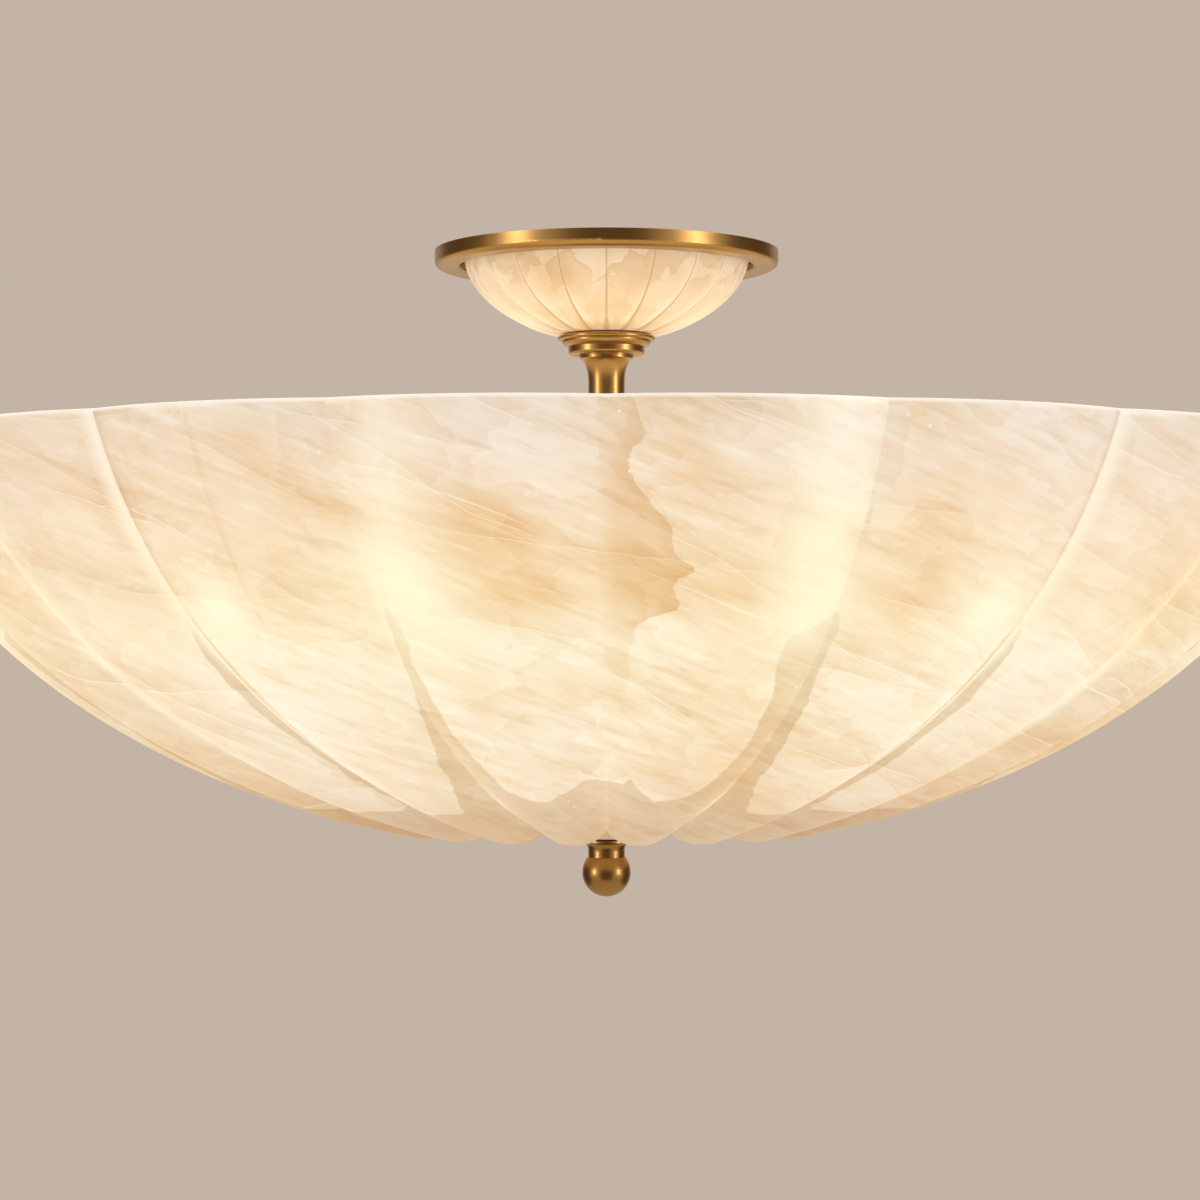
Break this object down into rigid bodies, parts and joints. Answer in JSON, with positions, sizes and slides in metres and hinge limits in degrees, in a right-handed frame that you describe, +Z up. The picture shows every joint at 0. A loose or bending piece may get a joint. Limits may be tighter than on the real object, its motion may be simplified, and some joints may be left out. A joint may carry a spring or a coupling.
{
  "type": "semi-flush ceiling light",
  "caption": "Semi-flush ceiling light with a wide fluted stone bowl held by a ball finial under a small fluted canopy bowl, brass ring, stepped collar and trumpet stem.",
  "frame": {"origin": "centre of the ceiling plane, on the light's axis, level with the crossbar's feet and the ceiling ring's top", "axes": "+Z up into the ceiling, -Y towards the front flute joint that faces the viewer, +X to the viewer's right"},
  "size_m": [0.556, 0.556, 0.2498],
  "materials": {
    "aged_brass": "satin, brushed",
    "brass_plain": "plain",
    "alabaster_large": "honed, translucent",
    "alabaster_small": "polished, translucent",
    "zinc_steel": "zinc plated",
    "green_steel": "green plated",
    "steel_thread": "threaded",
    "felt": "matte",
    "rubber": "matte",
    "black_insulation": "smooth",
    "white_insulation": "smooth",
    "bare_copper": "bare",
    "connector_plastic": "ribbed",
    "splice_plastic": "smooth",
    "socket_ceramic": "unglazed",
    "lamp_cap_metal": "bright",
    "frosted_glass": "frosted"
  },
  "bodies": {
    "frame": {"crossbar": "zinc_steel", "ground_screw": "green_steel", "hollow_pipe": "steel_thread", "pipe_nuts": "zinc_steel", "ceiling_ring": "aged_brass", "canopy_gasket": "felt", "canopy_bowl": "alabaster_small", "collar_washer": "felt", "stepped_collar": "aged_brass", "trumpet_stem": "aged_brass", "live_lead": "black_insulation", "neutral_lead": "white_insulation", "ground_lead": "bare_copper", "wire_connectors": "connector_plastic", "cluster_cup": "aged_brass", "cluster_cover": "aged_brass", "splice_block": "splice_plastic", "lower_rod": "steel_thread", "rod_nuts": "brass_plain", "bowl_stop_washer": "zinc_steel", "bowl_inner_pad": "rubber", "socket_nipples": "steel_thread", "socket_wires": "white_insulation", "socket_cap_1": "aged_brass", "socket_shell_1": "aged_brass", "socket_ceramic_1": "socket_ceramic", "socket_screw_shell_1": "brass_plain", "socket_contact_1": "brass_plain", "socket_cap_2": "aged_brass", "socket_shell_2": "aged_brass", "socket_ceramic_2": "socket_ceramic", "socket_screw_shell_2": "brass_plain", "socket_contact_2": "brass_plain", "socket_cap_3": "aged_brass", "socket_shell_3": "aged_brass", "socket_ceramic_3": "socket_ceramic", "socket_screw_shell_3": "brass_plain", "socket_contact_3": "brass_plain", "socket_cap_4": "aged_brass", "socket_shell_4": "aged_brass", "socket_ceramic_4": "socket_ceramic", "socket_screw_shell_4": "brass_plain", "socket_contact_4": "brass_plain"},
    "bowl": {"alabaster_bowl": "alabaster_large", "bowl_outer_pad": "rubber", "finial_cup": "aged_brass"},
    "finial": {"ball_finial": "aged_brass"},
    "lamp_1": {"lamp_cap_1": "lamp_cap_metal", "lamp_glass_1": "frosted_glass"},
    "lamp_2": {"lamp_cap_2": "lamp_cap_metal", "lamp_glass_2": "frosted_glass"},
    "lamp_3": {"lamp_cap_3": "lamp_cap_metal", "lamp_glass_3": "frosted_glass"},
    "lamp_4": {"lamp_cap_4": "lamp_cap_metal", "lamp_glass_4": "frosted_glass"}
  },
  "joints": [
    {"name": "bowl_drop", "type": "slide", "parent": "frame", "child": "bowl", "axis": [0, 0, -1], "range_m": [0, 0.15]},
    {"name": "finial_turn", "type": "hinge", "parent": "bowl", "child": "finial", "pos_m": [0, 0, -0.238], "axis": [0, 0, -1], "range_deg": [0, 2160]},
    {"name": "lamp_1_turn", "type": "hinge", "parent": "frame", "child": "lamp_1", "pos_m": [0.04243, 0.04243, -0.136], "axis": [0.7071, 0.7071, 0], "range_deg": [0, 1800]},
    {"name": "lamp_2_turn", "type": "hinge", "parent": "frame", "child": "lamp_2", "pos_m": [-0.04243, 0.04243, -0.136], "axis": [-0.7071, 0.7071, 0], "range_deg": [0, 1800]},
    {"name": "lamp_3_turn", "type": "hinge", "parent": "frame", "child": "lamp_3", "pos_m": [-0.04243, -0.04243, -0.136], "axis": [-0.7071, -0.7071, 0], "range_deg": [0, 1800]},
    {"name": "lamp_4_turn", "type": "hinge", "parent": "frame", "child": "lamp_4", "pos_m": [0.04243, -0.04243, -0.136], "axis": [0.7071, -0.7071, 0], "range_deg": [0, 1800]}
  ]
}
